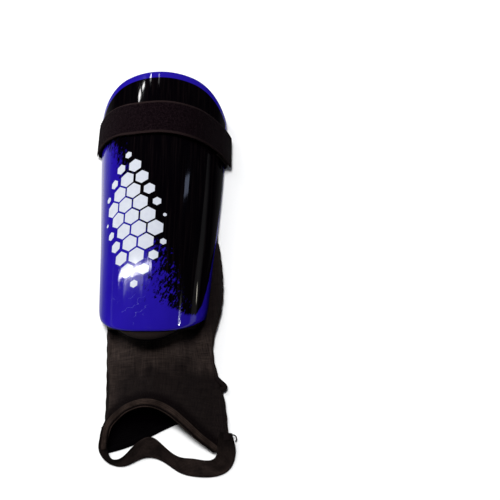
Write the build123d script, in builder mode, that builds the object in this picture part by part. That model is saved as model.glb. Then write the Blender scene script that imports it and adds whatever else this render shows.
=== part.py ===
from build123d import *

import os
from math import asin, cos, degrees, radians, sin, sqrt

# A shin guard with an ankle sleeve, lying on its back: the front of the leg points up (+Z),
# the knee end points along +Y and the foot end along -Y. The origin is on the table, under the
# middle of the whole object. Every length is in millimetres.
#
# Bodies: the guard (moulded front, foam, lining, the strap's rear run and the sleeve's cuff),
# the strap's front band, its pull tab, the ankle sleeve, and the stirrup under the foot.

# ---- Moulded guard -------------------------------------------------------------------------
AXIS_X = -3.0  # the guard's centre line; the sleeve flares out to its right
EDGE_Z = 4.0  # height of the guard's long edges above the table
GUARD_TOP = 174.0
GUARD_BOTTOM = -74.0
SHOULDER_Y = 136.0  # where the rounded top meets the long edges
SHOULDER_X = 30.0  # half the flatter stretch at the middle of the top edge
SHOULDER_DROP = 2.2
FOOT_CENTRE_Y = -26.0  # centre of the half ellipse that rounds the foot end
FOOT_HALF_WIDTH = 46.2
OUTLINE_HALF_WIDTH = 60.0  # wider than the guard, so the long edges keep the loft's own line
# y, half width and rise at four stations, the end ones a little beyond the outline
GUARD_STATIONS = [(180.0, 58.8, 43.6), (100.0, 55.3, 45.0), (0.0, 47.8, 42.0), (-90.0, 41.0, 38.5)]
SHELL_THICK = 2.2
SHELL_ROUND = 0.7  # radius of the moulded front's outer rim
FOAM_THICK = 4.5
LINING_THICK = 0.9
GLUE_GAP = 0.05
FOAM_INSET = 1.0
LINING_INSET = 0.6
FOAM_LIP = 5.0  # how far the foam and the lining stand out below the moulded front

# ---- Calf strap: every layer is an arc about one centre ------------------------------------
STRAP_X = -1.25
STRAP_Z = -11.4
STRAP_WIDTH = 32.0
STRAP_LOW_Y = 107.0
REAR_THICK = 1.2
REAR_LEFT_X = -62.5
RISER_RADIUS = 58.8  # inner face of the riser on the right flank
RISER_TOP_ANGLE = 36.0  # angles are above the horizontal, seen from the foot end
LOOP_PATCH_THICK = 0.6
LOOP_PATCH_LOW_ANGLE = 15.0
HOOK_RADIUS = 60.9
HOOK_THICK = 0.7
BAND_RADIUS = 61.7
ELASTIC_THICK = 1.0
PILE_THICK = 1.2
BAND_LEFT_ANGLE = 166.1
TAB_TOP_ANGLE = 39.0
TAB_LOW_ANGLE = 15.0
TAB_HINGE_GAP_ANGLE = 0.5
TAB_MARGIN = 2.5
STITCH = (1.7, 0.5, 0.35)  # length, width and height of one stitch
STITCH_PITCH = 2.8
ANCHOR_X = -58.0
ANCHOR_LENGTH = 6.0
ANCHOR_WIDTH = 26.0

# ---- Ankle sleeve --------------------------------------------------------------------------
KNIT_THICK = 1.4
FOLD_GAP = 0.35  # between the two layers where they lie flat on each other
FRONT_LOW = KNIT_THICK + FOLD_GAP
FRONT_HIGH = FRONT_LOW + KNIT_THICK
SEAM_WIDTH = 1.2
HEM_LENGTH = 6.0
HEM_GROWTH = 0.4
FLEX_Y = -84.0  # the line across which the sleeve bends
FLEX_GAP = 0.5
# y, left and right edge, left and right foot of the raised part, and its peak
CUFF_STATIONS = [
    (30.0, -44.0, 48.5, -34.0, 28.0, 37.6),
    (-10.0, -43.0, 54.5, -33.0, 29.0, 30.0),
    (-45.0, -41.0, 52.5, -32.0, 28.0, 24.0),
    (-66.0, -40.0, 46.0, -31.5, 28.0, 21.0),
    (FLEX_Y + FLEX_GAP / 2, -39.5, 45.0, -34.0, 36.0, 19.0),
]
SLEEVE_STATIONS = [
    (FLEX_Y - FLEX_GAP / 2, -38.3, 44.0, -34.0, 36.0, 19.0),
    (-108.0, -36.5, 50.0, -33.0, 46.0, 18.0),
    (-130.0, -36.0, 54.0, -33.0, 50.0, 18.0),
    (-157.0, -36.0, 56.2, -33.5, 53.0, 12.0),
]
# plan views of the two bound edges at the foot end, left to right
INSTEP_HEM = [(-32.5, -157.0), (-30.5, -141.0), (-7.0, -126.0), (20.0, -136.5), (47.0, -157.0)]
INSTEP_CUT = [(-37.0, -141.0), (-29.0, -127.0), (-7.0, -118.0), (23.0, -129.0), (58.0, -157.0)]
HEEL_HEM = [(-36.0, -157.0), (-16.0, -150.5), (8.0, -138.5), (33.0, -131.5), (54.5, -157.0)]
HEEL_CUT = [(-36.0, -152.0), (-17.0, -145.5), (6.0, -133.5), (34.0, -126.0), (58.0, -150.0)]
BINDING_OUT = 0.8
BINDING_IN = 0.25
PAD_CENTRES = {"left": (-12.0, -105.5), "right": (24.5, -105.5)}
PAD_LENGTH = 38.0
PAD_WIDTH = 27.0
PAD_THICK = 2.6
PAD_COVER_THICK = 0.5
PAD_ROUND = 0.8
TACK_LENGTH = 5.0
TACK_HEIGHT = 2.4
TACK_THICK = 0.7
TACK_LOW_Y = -143.3
REACH = 60.0  # taller than anything on the table
KNOT_CENTRE = (54.2, -105.5)
KNOT_SIZE = (6.0, 5.0, 2.6)

# ---- Stirrup -------------------------------------------------------------------------------
STIRRUP_THICK = 1.5
STIRRUP_END_Y = -146.0
STIRRUP_LEFT = (-40.3, -37.7)  # outer and inner side of its left end
STIRRUP_RIGHT = (63.6, 57.9)
STIRRUP_HEEL_EDGE = [
    (-36.5, -158.8), (-24.0, -162.5), (-13.0, -152.5), (-2.0, -147.0), (9.0, -153.0),
    (25.0, -160.0), (45.0, -161.0), (56.5, -158.8),
]
STIRRUP_TOE_EDGE = [
    (-34.0, -162.0), (-22.0, -167.0), (-9.0, -161.5), (8.0, -162.5), (26.0, -173.0),
    (48.0, -173.6), (60.5, -166.0),
]

os.makedirs("parts", exist_ok=True)


def save(builder, name):
    """Labels a finished piece and writes it under its node name."""
    builder.part.label = name
    export_step(builder.part, f"parts/{name}.step")


# ---- Guard layers --------------------------------------------------------------------------
def guard_section(y, half_width, rise, depth, thick):
    """One layer's cross-section, whose outer face is depth below the moulded front's."""
    radius = (half_width**2 + rise**2) / (2 * rise)
    centre_z = EDGE_Z + rise - radius
    outer, inner = radius - depth, radius - depth - thick
    outer_x = sqrt(outer**2 - (EDGE_Z - centre_z) ** 2)
    inner_x = sqrt(inner**2 - (EDGE_Z - centre_z) ** 2)
    with BuildSketch(Plane.XZ.offset(-y)) as section:
        with BuildLine():
            over = ThreePointArc(
                (AXIS_X - outer_x, EDGE_Z), (AXIS_X, centre_z + outer), (AXIS_X + outer_x, EDGE_Z)
            )
            under = ThreePointArc(
                (AXIS_X - inner_x, EDGE_Z), (AXIS_X, centre_z + inner), (AXIS_X + inner_x, EDGE_Z)
            )
            Line(over @ 0, under @ 0)
            Line(over @ 1, under @ 1)
        make_face()
    return section.sketch


def guard_outline(inset, lip):
    """The guard's plan view: inset all round, and lower by lip at the middle of the foot."""
    side, top = OUTLINE_HALF_WIDTH - inset, GUARD_TOP - inset
    foot_depth = FOOT_CENTRE_Y - GUARD_BOTTOM + lip - inset
    with BuildSketch(Plane((AXIS_X, 0, 0))) as outline:
        with BuildLine():
            head = ThreePointArc(
                (-SHOULDER_X, top - SHOULDER_DROP), (0, top), (SHOULDER_X, top - SHOULDER_DROP)
            )
            right = TangentArc(head @ 1, (side, SHOULDER_Y), tangent=head % 1)
            left = TangentArc(head @ 0, (-side, SHOULDER_Y), tangent=(head % 0) * -1)
            foot = EllipticalCenterArc(
                (0, FOOT_CENTRE_Y),
                x_radius=FOOT_HALF_WIDTH - inset,
                y_radius=foot_depth,
                start_angle=180,
                arc_size=180,
            )
            Line(left @ 1, foot @ 0)
            Line(right @ 1, foot @ 1)
        make_face()
    return outline.sketch


def guard_layer(depth, thick, inset, lip):
    """A curved sheet of the guard: lofted through the stations, then cut to its outline."""
    with BuildPart() as layer:
        for y, half_width, rise in GUARD_STATIONS:
            add(guard_section(y, half_width, rise, depth, thick))
        loft()
        add(guard_outline(inset, lip))
        extrude(amount=GUARD_TOP, mode=Mode.INTERSECT)
    return layer


foam_depth = SHELL_THICK + GLUE_GAP
lining_depth = foam_depth + FOAM_THICK + GLUE_GAP
shell_layer = guard_layer(0, SHELL_THICK, 0, 0)
with BuildPart() as front_shell:
    add(shell_layer.part)
    fillet(front_shell.faces().sort_by(SortBy.AREA)[-1].edges(), SHELL_ROUND)
save(front_shell, "front_shell")
save(guard_layer(foam_depth, FOAM_THICK, FOAM_INSET, FOAM_LIP), "foam_backing")
save(guard_layer(lining_depth, LINING_THICK, LINING_INSET, FOAM_LIP), "backing_lining")


# ---- Calf strap ----------------------------------------------------------------------------
def on_strap(radius, angle):
    """A point of the strap's cross-section, as x and z."""
    return (STRAP_X + radius * cos(radians(angle)), STRAP_Z + radius * sin(radians(angle)))


def angle_at(radius, z):
    """The angle at which an arc of the strap reaches a height on the right flank."""
    return degrees(asin((z - STRAP_Z) / radius))


def strap_arc(radius, start, end):
    """An arc about the strap's centre."""
    return ThreePointArc(
        on_strap(radius, start), on_strap(radius, (start + end) / 2), on_strap(radius, end)
    )


def strap_layer(radius, thick, start, end, margin=0.0):
    """A curved strip of the strap, narrower than it by margin at each edge."""
    with BuildPart() as strip:
        with BuildSketch(Plane.XZ.offset(-STRAP_LOW_Y - margin)):
            with BuildLine():
                outer = strap_arc(radius + thick, start, end)
                inner = strap_arc(radius, start, end)
                Line(outer @ 0, inner @ 0)
                Line(outer @ 1, inner @ 1)
            make_face()
        extrude(amount=2 * margin - STRAP_WIDTH)
    return strip


def strap_plane(radius, angle, y, along):
    """A plane on the strap's face, with its x axis along the given direction."""
    x, z = on_strap(radius, angle)
    return Plane((x, y, z), x_dir=along, z_dir=(cos(radians(angle)), 0, sin(radians(angle))))


def stitches(planes):
    """One small raised thread on each plane."""
    with BuildPart() as threads:
        with Locations(*planes):
            Box(*STITCH, align=(Align.CENTER, Align.CENTER, Align.MIN))
    return threads


def stitch_row_across(radius, angle, margin):
    """Planes for a row of stitches from one edge of the strap to the other."""
    count = int((STRAP_WIDTH - 2 * margin) / STITCH_PITCH)
    low = STRAP_LOW_Y + STRAP_WIDTH / 2 - (count - 1) * STITCH_PITCH / 2
    return [strap_plane(radius, angle, low + i * STITCH_PITCH, (0, 1, 0)) for i in range(count)]


def stitch_row_along(radius, start, end, y):
    """Planes for a row of stitches that runs along the strap."""
    step = degrees(STITCH_PITCH / radius)
    count = int((end - start) / step)
    planes = []
    for i in range(count):
        angle = start + (end - start - (count - 1) * step) / 2 + i * step
        along = (-sin(radians(angle)), 0, cos(radians(angle)))
        planes.append(strap_plane(radius, angle, y, along))
    return planes


# the rear run lies flat under the guard and turns up its right flank
riser_outer = RISER_RADIUS + REAR_THICK
with BuildPart() as strap_rear:
    with BuildSketch(Plane.XZ.offset(-STRAP_LOW_Y)):
        with BuildLine():
            outer = strap_arc(riser_outer, angle_at(riser_outer, 0), RISER_TOP_ANGLE)
            inner = strap_arc(RISER_RADIUS, angle_at(RISER_RADIUS, REAR_THICK), RISER_TOP_ANGLE)
            Line(outer @ 1, inner @ 1)
            Polyline(inner @ 0, (REAR_LEFT_X, REAR_THICK), (REAR_LEFT_X, 0), outer @ 0)
        make_face()
    extrude(amount=-STRAP_WIDTH)
save(strap_rear, "calf_strap_rear")

riser_patch = strap_layer(
    riser_outer, LOOP_PATCH_THICK, LOOP_PATCH_LOW_ANGLE, RISER_TOP_ANGLE - 1, TAB_MARGIN
)
save(riser_patch, "riser_loop_patch")

with BuildPart() as anchor_tab:
    with Locations((ANCHOR_X, STRAP_LOW_Y + STRAP_WIDTH / 2, REAR_THICK + GLUE_GAP)):
        Box(
            ANCHOR_LENGTH,
            ANCHOR_WIDTH,
            EDGE_Z - REAR_THICK - 2 * GLUE_GAP,
            align=(Align.MIN, Align.CENTER, Align.MIN),
        )
save(anchor_tab, "strap_anchor_tab")

pile_radius = BAND_RADIUS + ELASTIC_THICK + GLUE_GAP
band_face = pile_radius + PILE_THICK
band_low_angle = TAB_TOP_ANGLE + TAB_HINGE_GAP_ANGLE
tab_high_angle = TAB_TOP_ANGLE - TAB_HINGE_GAP_ANGLE
save(strap_layer(BAND_RADIUS, ELASTIC_THICK, band_low_angle, BAND_LEFT_ANGLE), "band_elastic")
save(strap_layer(pile_radius, PILE_THICK, band_low_angle, BAND_LEFT_ANGLE), "band_loop_pile")
seam_planes = []
for seam_angle in (BAND_LEFT_ANGLE - 5, BAND_LEFT_ANGLE - 8):
    seam_planes += stitch_row_across(band_face, seam_angle, 1.5)
save(stitches(seam_planes), "band_seam_stitching")

save(strap_layer(BAND_RADIUS, ELASTIC_THICK, TAB_LOW_ANGLE, tab_high_angle), "tab_elastic")
save(strap_layer(pile_radius, PILE_THICK, TAB_LOW_ANGLE, tab_high_angle), "tab_pile")
hook_low_angle, hook_high_angle = TAB_LOW_ANGLE + 1.5, tab_high_angle - 4
hook_patch = strap_layer(HOOK_RADIUS, HOOK_THICK, hook_low_angle, hook_high_angle, TAB_MARGIN)
save(hook_patch, "hook_patch")
tab_planes = []
for row_angle in (hook_low_angle + 1, hook_high_angle - 1):
    tab_planes += stitch_row_across(band_face, row_angle, TAB_MARGIN + 1)
for row_y in (STRAP_LOW_Y + TAB_MARGIN + 1, STRAP_LOW_Y + STRAP_WIDTH - TAB_MARGIN - 1):
    tab_planes += stitch_row_along(band_face, hook_low_angle + 2, hook_high_angle - 2, row_y)
save(stitches(tab_planes), "tab_stitching")


# ---- Ankle sleeve --------------------------------------------------------------------------
def bell_loft(stations, low, high, side_out, feet_in, peak_out):
    """A solid with flat wings and a raised middle, lofted through the stations."""
    with BuildPart() as bell:
        for y, left, right, foot_left, foot_right, peak in stations:
            with BuildSketch(Plane.XZ.offset(-y)):
                with BuildLine():
                    dome = ThreePointArc(
                        (foot_left + feet_in, high),
                        ((foot_left + foot_right) / 2, peak + peak_out),
                        (foot_right - feet_in, high),
                    )
                    Polyline(
                        dome @ 1,
                        (right + side_out, high),
                        (right + side_out, low),
                        (left - side_out, low),
                        (left - side_out, high),
                        dome @ 0,
                    )
                make_face()
        loft()
    return bell.part


def sleeve_tube(stations, growth):
    """A length of the sleeve as a tube that lies on the table, thicker by growth."""
    outside = bell_loft(stations, 0, FRONT_HIGH + growth, growth, 0, growth)
    inside = bell_loft(stations, KNIT_THICK, FRONT_LOW, -SEAM_WIDTH, KNIT_THICK, -KNIT_THICK)
    with BuildPart() as tube:
        add(outside)
        add(inside, mode=Mode.SUBTRACT)
    return tube


def front_layer(stations, inward, outward):
    """The sleeve's front panel, thickened inwards and outwards."""
    low, high = FRONT_LOW - inward, FRONT_HIGH + outward
    with BuildPart() as layer:
        for y, left, right, foot_left, foot_right, peak in stations:
            middle = (foot_left + foot_right) / 2
            with BuildSketch(Plane.XZ.offset(-y)):
                with BuildLine():
                    over = ThreePointArc(
                        (foot_left, high), (middle, peak + outward), (foot_right, high)
                    )
                    under = ThreePointArc(
                        (foot_left + KNIT_THICK, low),
                        (middle, peak - KNIT_THICK - inward),
                        (foot_right - KNIT_THICK, low),
                    )
                    Polyline(over @ 0, (left, high), (left, low), under @ 0)
                    Polyline(over @ 1, (right, high), (right, low), under @ 1)
                make_face()
        loft()
    return layer.part


def side_points(side, out):
    """Plan points of the lower sleeve's left (side 1) or right (side 2) edge, moved out."""
    return [(station[side] + out, station[0]) for station in SLEEVE_STATIONS]


def beyond(edge):
    """Plan view of everything on the foot side of a bound edge."""
    with BuildSketch() as area:
        with BuildLine():
            line = Spline(*edge)
            Polyline(line @ 1, (100, edge[-1][1]), (100, -200), (-100, -200), (-100, edge[0][1]),
                     line @ 0)
        make_face()
    return area.sketch


def cut_beyond(panel, edge):
    """A panel without what lies on the foot side of a bound edge."""
    with BuildPart() as rest:
        add(panel)
        add(beyond(edge))
        extrude(amount=REACH, mode=Mode.SUBTRACT)
    return rest


def binding_strip(panel, cut, hem):
    """The part of a panel between its cut edge and its hem."""
    with BuildPart() as strip:
        add(panel)
        with BuildSketch():
            add(beyond(cut))
            add(beyond(hem), mode=Mode.SUBTRACT)
        extrude(amount=REACH, mode=Mode.INTERSECT)
    return strip


def heel_layer(thick):
    """The sleeve's back panel, flat on the table, before its foot end is cut."""
    with BuildPart() as layer:
        with BuildSketch():
            with BuildLine():
                left = Spline(*side_points(1, 0))
                right = Spline(*side_points(2, 0))
                Line(left @ 0, right @ 0)
                Line(left @ 1, right @ 1)
            make_face()
        extrude(amount=thick)
    return layer.part


cuff_top, cuff_next = CUFF_STATIONS[:2]
hem_share = HEM_LENGTH / (cuff_top[0] - cuff_next[0])
hem_low = tuple(a + (b - a) * hem_share for a, b in zip(cuff_top, cuff_next))
save(sleeve_tube([hem_low] + CUFF_STATIONS[1:], 0), "sleeve_cuff")
save(sleeve_tube([cuff_top, hem_low], HEM_GROWTH), "cuff_hem")

save(cut_beyond(front_layer(SLEEVE_STATIONS, 0, 0), INSTEP_CUT), "sleeve_front_panel")
thick_front = front_layer(SLEEVE_STATIONS, BINDING_IN, BINDING_OUT)
save(binding_strip(thick_front, INSTEP_CUT, INSTEP_HEM), "instep_binding")
save(cut_beyond(heel_layer(KNIT_THICK), HEEL_CUT), "sleeve_heel_panel")
heel_binding = binding_strip(heel_layer(KNIT_THICK + GLUE_GAP), HEEL_CUT, HEEL_HEM)
save(heel_binding, "heel_binding")

for name, side, out in (("left", 1, -1), ("right", 2, 1)):
    with BuildPart() as seam:
        with BuildSketch():
            with BuildLine():
                near = Spline(*side_points(side, out * GLUE_GAP))
                far = Spline(*side_points(side, out * (GLUE_GAP + SEAM_WIDTH)))
                Line(near @ 0, far @ 0)
                Line(near @ 1, far @ 1)
            make_face()
        extrude(amount=FRONT_HIGH)
    save(seam, f"side_seam_{name}")

pad_low = KNIT_THICK + GLUE_GAP
for name, (pad_x, pad_y) in PAD_CENTRES.items():
    with BuildPart() as pad:
        with BuildSketch(Plane((pad_x, pad_y, pad_low))):
            Ellipse(PAD_WIDTH / 2, PAD_LENGTH / 2)
        extrude(amount=PAD_THICK)
        fillet(pad.edges().group_by(Axis.Z)[-1], PAD_ROUND)
    save(pad, f"ankle_pad_{name}")
    with BuildPart() as cover:
        with BuildSketch(Plane((pad_x, pad_y, pad_low + PAD_THICK + GLUE_GAP))):
            Ellipse(PAD_WIDTH / 2, PAD_LENGTH / 2)
        extrude(amount=PAD_COVER_THICK)
    save(cover, f"ankle_pad_cover_{name}")

for name, side, out in (("left", 1, -1), ("right", 2, 1)):
    tack_x = SLEEVE_STATIONS[-1][side] + out * (SEAM_WIDTH + 2 * GLUE_GAP + TACK_THICK / 2)
    with BuildPart() as tack:
        with Locations((tack_x, TACK_LOW_Y, 0)):
            Box(TACK_THICK, TACK_LENGTH, TACK_HEIGHT, align=(Align.CENTER, Align.MIN, Align.MIN))
    save(tack, f"stirrup_tack_{name}")

with BuildPart() as knot:
    with BuildSketch():
        with Locations(KNOT_CENTRE):
            RectangleRounded(KNOT_SIZE[0], KNOT_SIZE[1], KNOT_SIZE[1] / 3)
    extrude(amount=KNOT_SIZE[2])
save(knot, "seam_end_knot")

# ---- Stirrup -------------------------------------------------------------------------------
with BuildPart() as stirrup:
    with BuildSketch():
        with BuildLine():
            heel_edge = Spline(*STIRRUP_HEEL_EDGE)
            toe_edge = Spline(*STIRRUP_TOE_EDGE)
            Polyline(
                heel_edge @ 0,
                (STIRRUP_LEFT[1], STIRRUP_HEEL_EDGE[0][1]),
                (STIRRUP_LEFT[1], STIRRUP_END_Y),
                (STIRRUP_LEFT[0], STIRRUP_END_Y),
                (STIRRUP_LEFT[0], STIRRUP_HEEL_EDGE[0][1]),
                toe_edge @ 0,
            )
            Polyline(
                heel_edge @ 1,
                (STIRRUP_RIGHT[1], STIRRUP_HEEL_EDGE[-1][1]),
                (STIRRUP_RIGHT[1], STIRRUP_END_Y),
                (STIRRUP_RIGHT[0], STIRRUP_END_Y),
                (STIRRUP_RIGHT[0], STIRRUP_HEEL_EDGE[-1][1]),
                toe_edge @ 1,
            )
        make_face()
    extrude(amount=STIRRUP_THICK)
save(stirrup, "stirrup_strap")
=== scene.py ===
"""Looks for a shin guard lying on its back: a printed hard front on foam and lining, a
hook-and-loop calf strap, a knitted ankle sleeve with bound edges, and a stirrup under the foot.
Shapes are worked out in millimetres in the CAD frame: +Y is the knee end and +Z is up."""

import math

import bmesh
import bpy
import numpy as np
from mathutils import Matrix, Vector, noise


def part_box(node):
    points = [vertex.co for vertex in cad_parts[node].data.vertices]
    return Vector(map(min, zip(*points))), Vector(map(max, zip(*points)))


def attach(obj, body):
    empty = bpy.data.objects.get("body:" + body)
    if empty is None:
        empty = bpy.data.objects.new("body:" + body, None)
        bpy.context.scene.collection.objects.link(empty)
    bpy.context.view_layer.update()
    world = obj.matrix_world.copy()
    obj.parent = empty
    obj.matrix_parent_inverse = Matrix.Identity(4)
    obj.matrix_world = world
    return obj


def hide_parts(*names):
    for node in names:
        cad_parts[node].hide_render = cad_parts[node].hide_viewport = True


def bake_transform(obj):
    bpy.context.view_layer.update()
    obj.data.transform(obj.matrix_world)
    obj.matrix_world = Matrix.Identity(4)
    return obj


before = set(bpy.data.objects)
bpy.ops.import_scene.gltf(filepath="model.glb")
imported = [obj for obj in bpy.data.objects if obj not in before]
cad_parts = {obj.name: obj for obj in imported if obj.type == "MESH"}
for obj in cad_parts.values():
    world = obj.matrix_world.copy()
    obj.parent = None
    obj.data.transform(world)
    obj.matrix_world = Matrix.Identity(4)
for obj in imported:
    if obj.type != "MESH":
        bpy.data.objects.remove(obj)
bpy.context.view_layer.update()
MM = 0.001


def node_box(name):
    """Lowest and highest corner of a CAD node, in millimetres."""
    low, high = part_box(name)
    return np.array(low) / MM, np.array(high) / MM


# ---- Sizes ----
shell_low, shell_high = node_box("front_shell")
AXIS_X = (shell_low[0] + shell_high[0]) / 2
EDGE_Z = shell_low[2]
GUARD_TOP = shell_high[1]
GUARD_BOTTOM = shell_low[1]
# y, half width and rise of the hard front
GUARD_STATIONS = np.array(
    [(180.0, 58.8, 43.6), (100.0, 55.3, 45.0), (0.0, 47.8, 42.0), (-90.0, 41.0, 38.5)]
)
SHELL_THICK = 2.2
FOAM_THICK = 4.5
LINING_THICK = 0.9
LAYER_GAP = 0.05  # keeps layers clear of each other and of the table
FOAM_LIP = 6.3  # how far the foam shows below the hard front, at the middle
LIP_HALF = 24.5  # half the width over which the foam shows below the hard front
HEAD_HALF = 30.0  # half the flatter stretch at the middle of the top edge
HEAD_DROP = 2.2
SHOULDER_RADIUS = 35.1
FOOT_HALF_WIDTH = 46.2
FOOT_CENTRE_Y = GUARD_BOTTOM + 48.0
FOOT_SQUARENESS = 2.35  # 2 would make the foot end half an ellipse

band_low, band_high = node_box("band_loop_pile")
STRAP_MIDDLE_Y = (band_low[1] + band_high[1]) / 2
STRAP_HALF_WIDTH = (band_high[1] - band_low[1]) / 2
STRAP_X, STRAP_Z = -1.25, -11.4  # centre of every arc of the strap
PILE_RADIUS = 63.3
ELASTIC_RADIUS = 62.2
RISER_RADIUS = 59.4
HOOK_RADIUS = 61.25
BAND_LEFT_ANGLE = 166.4
TAB_ANGLE = 39.0  # where the loose end starts to peel
TAB_END_ANGLE = 15.0
SPLICE_ANGLE = 62.0  # where the tab's elastic is joined on, under the pile
RISER_TOP_ANGLE = 36.0
ELASTIC_HALF = 0.5  # half thicknesses of the strap's layers
PILE_HALF = 0.6
PATCH_HALF = 0.28
HOOK_HALF = 0.33
DEGREE_ARC = 0.0175  # length of one degree on an arc of radius 1

HALF_KNIT = 0.7  # half the thickness of the sleeve's cloth
FRONT_LOW = 1.75  # how far the front cloth lies above the table at its lowest
FLEX_Y = -84.0  # where the sleeve folds up
FLEX_BEND = ("sleeve", (3, FLEX_Y + 20, 0), (3, FLEX_Y - 22, 0))
# y, left and right edge, left and right foot of the raised part, and its peak
SLEEVE_STATIONS = np.array([
    (30.0, -44.0, 46.5, -34.0, 28.0, 37.6),
    (-10.0, -43.0, 51.6, -33.0, 29.0, 30.0),
    (-45.0, -41.0, 50.0, -32.0, 28.0, 24.0),
    (-66.0, -39.5, 45.2, -31.5, 28.0, 21.0),
    (-84.0, -38.2, 46.0, -34.0, 36.0, 19.0),
    (-108.0, -36.6, 52.8, -33.0, 46.0, 18.0),
    (-130.0, -35.8, 56.6, -33.0, 50.0, 18.0),
    (-157.0, -36.0, 58.6, -33.5, 53.0, 12.0),
])
SLEEVE_TOP = 30.0
SLEEVE_FOOT = -157.0
# plans of the bound edges at the sleeve's foot end, over the instep and under the heel
INSTEP_LINE = [(-33.8, -155.0), (-33.4, -147.0), (-29.6, -135.2), (-19.5, -127.2), (-7.0, -124.2),
               (7.0, -127.2), (20.5, -136.0), (34.5, -147.6), (49.0, -157.6)]
HEEL_LINE = [(-35.5, -156.5), (-16.5, -150.8), (7.0, -139.0), (19.0, -133.6), (33.5, -131.0),
             (47.0, -138.0), (57.8, -155.0)]


# ---- Curves ----
def cubic(knots, values, at):
    """Natural cubic spline through the knots, for one or more columns of values."""
    knots, values, at = (np.asarray(a, float) for a in (knots, values, at))
    if knots[0] > knots[-1]:
        knots, values = knots[::-1], values[::-1]
    step = np.diff(knots)
    rows = len(knots)
    system = np.eye(rows)
    right = np.zeros_like(values)
    for i in range(1, rows - 1):
        before, after = step[i - 1], step[i]
        system[i, i - 1 : i + 2] = before, 2 * (before + after), after
        right[i] = 6 * ((values[i + 1] - values[i]) / after - (values[i] - values[i - 1]) / before)
    bend = np.linalg.solve(system, right)
    k = np.clip(np.searchsorted(knots, at) - 1, 0, rows - 2)
    h = step[k]
    a, b = knots[k + 1] - at, at - knots[k]
    if values.ndim > 1:
        h, a, b = h[..., None], a[..., None], b[..., None]
    return (
        (bend[k] * a**3 + bend[k + 1] * b**3) / (6 * h)
        + (values[k] / h - bend[k] * h / 6) * a
        + (values[k + 1] / h - bend[k + 1] * h / 6) * b
    )


def lengths(path):
    """Distance travelled along a path at each of its points."""
    return np.r_[0, np.cumsum(np.linalg.norm(np.diff(path, axis=0), axis=1))]


def smooth_path(points, count):
    """Evenly spaced points on a smooth curve through the given ones."""
    points = np.array(points, float)
    knots = lengths(points)
    dense = cubic(knots, points, np.linspace(0, knots[-1], 12 * len(points)))
    travelled = lengths(dense)
    even = np.linspace(0, travelled[-1], count)
    return np.stack([np.interp(even, travelled, column) for column in dense.T], axis=1)


def smooth_step(value, low, high):
    t = np.clip((value - low) / (high - low), 0, 1)
    return t * t * (3 - 2 * t)


def hump(x):
    """1 at 0, falling away smoothly to almost nothing at 2 on both sides."""
    return np.exp(-(x**2))


def triples(x, y, z):
    """Points or marks from their three coordinates, each an array or one number for all."""
    return np.stack(np.broadcast_arrays(x, y, z), axis=-1)


def unit(vectors):
    return vectors / np.maximum(np.linalg.norm(vectors, axis=-1, keepdims=True), 1e-9)


def tangents(points):
    return unit(np.gradient(points, axis=0))


def cloth_noise(points, size, seed):
    """Smooth noise from -1 to 1 at each point, with features of the given sizes."""
    scaled = np.asarray(points, float) / np.asarray(size, float)
    flat = scaled.reshape(-1, 3)
    offset = Vector((seed * 7.31, seed * 3.17, seed * 5.71))
    values = [noise.noise(Vector(p) + offset) for p in flat]
    return np.array(values).reshape(scaled.shape[:-1])


# ---- Meshes ----
def new_object(name, points, faces, marks):
    """A smooth closed mesh, given in millimetres. points and marks are lists of blocks, and
    marks carries each point's place in the material's pattern."""
    points, marks = (np.concatenate([np.reshape(block, (-1, 3)) for block in blocks])
                     for blocks in (points, marks))
    points[:, 2] = np.maximum(points[:, 2], LAYER_GAP)  # nothing lies below the table
    mesh = bpy.data.meshes.new(name)
    mesh.from_pydata((points * MM).tolist(), [], faces)
    layer = mesh.attributes.new("mark", "FLOAT_VECTOR", "POINT")
    layer.data.foreach_set("vector", marks.astype(np.float32).ravel())
    work = bmesh.new()
    work.from_mesh(mesh)
    bmesh.ops.recalc_face_normals(work, faces=work.faces)
    work.to_mesh(mesh)
    work.free()
    mesh.polygons.foreach_set("use_smooth", [True] * len(mesh.polygons))
    piece = bpy.data.objects.new(name, mesh)
    bpy.context.scene.collection.objects.link(piece)
    return piece


def grid_faces(index):
    """Quads between neighbours of a two-dimensional array of point numbers."""
    corners = index[:-1, :-1], index[:-1, 1:], index[1:, 1:], index[1:, :-1]
    return np.stack(corners, axis=-1).reshape(-1, 4).tolist()


def closed_sheet(name, place, columns, rows, thick, rim_steps):
    """A sheet with two faces and a rounded rim. place(s, t, inset, depth) gives points and
    marks: s runs -1 to 1 across, t runs 0 to 1 along, inset is from the rim, depth from above."""
    widest = math.pi / 2.2  # columns lie closer together towards the sheet's sides
    shares = np.sin(np.linspace(-1, 1, columns) * widest) / math.sin(widest)
    s, t = np.meshgrid(shares, np.linspace(0, 1, rows))
    half = thick / 2
    over, over_marks = place(s, t, half, 0.0)
    under, under_marks = place(s, t, half, thick)
    count = rows * columns
    index = np.arange(count).reshape(rows, columns)
    ring = np.r_[index[0, :-1], index[:-1, -1], index[-1, :0:-1], index[:0:-1, 0]]
    points, marks = [over, under], [over_marks, under_marks]
    faces = grid_faces(index) + grid_faces(index + count)
    rings = [ring]
    for k in range(1, rim_steps):
        turn = math.pi * k / rim_steps
        inset, depth = half * (1 - math.sin(turn)), half * (1 - math.cos(turn))
        ring_points, ring_marks = place(s.ravel()[ring], t.ravel()[ring], inset, depth)
        rings.append(np.arange(len(ring)) + 2 * count + (k - 1) * len(ring))
        points.append(ring_points)
        marks.append(ring_marks)
    rings.append(ring + count)
    for near, far in zip(rings, rings[1:]):
        faces += np.stack([near, np.roll(near, -1), np.roll(far, -1), far], axis=-1).tolist()
    return new_object(name, points, faces, marks)


def rounded(power):
    """A profile of thickness across a strip: full at its middle and rounded off at its edges,
    round like a rod for a power of 2 and flat almost to the edges for a high one."""
    return lambda a: (1 - np.abs(a) ** power) ** 0.5


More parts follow.
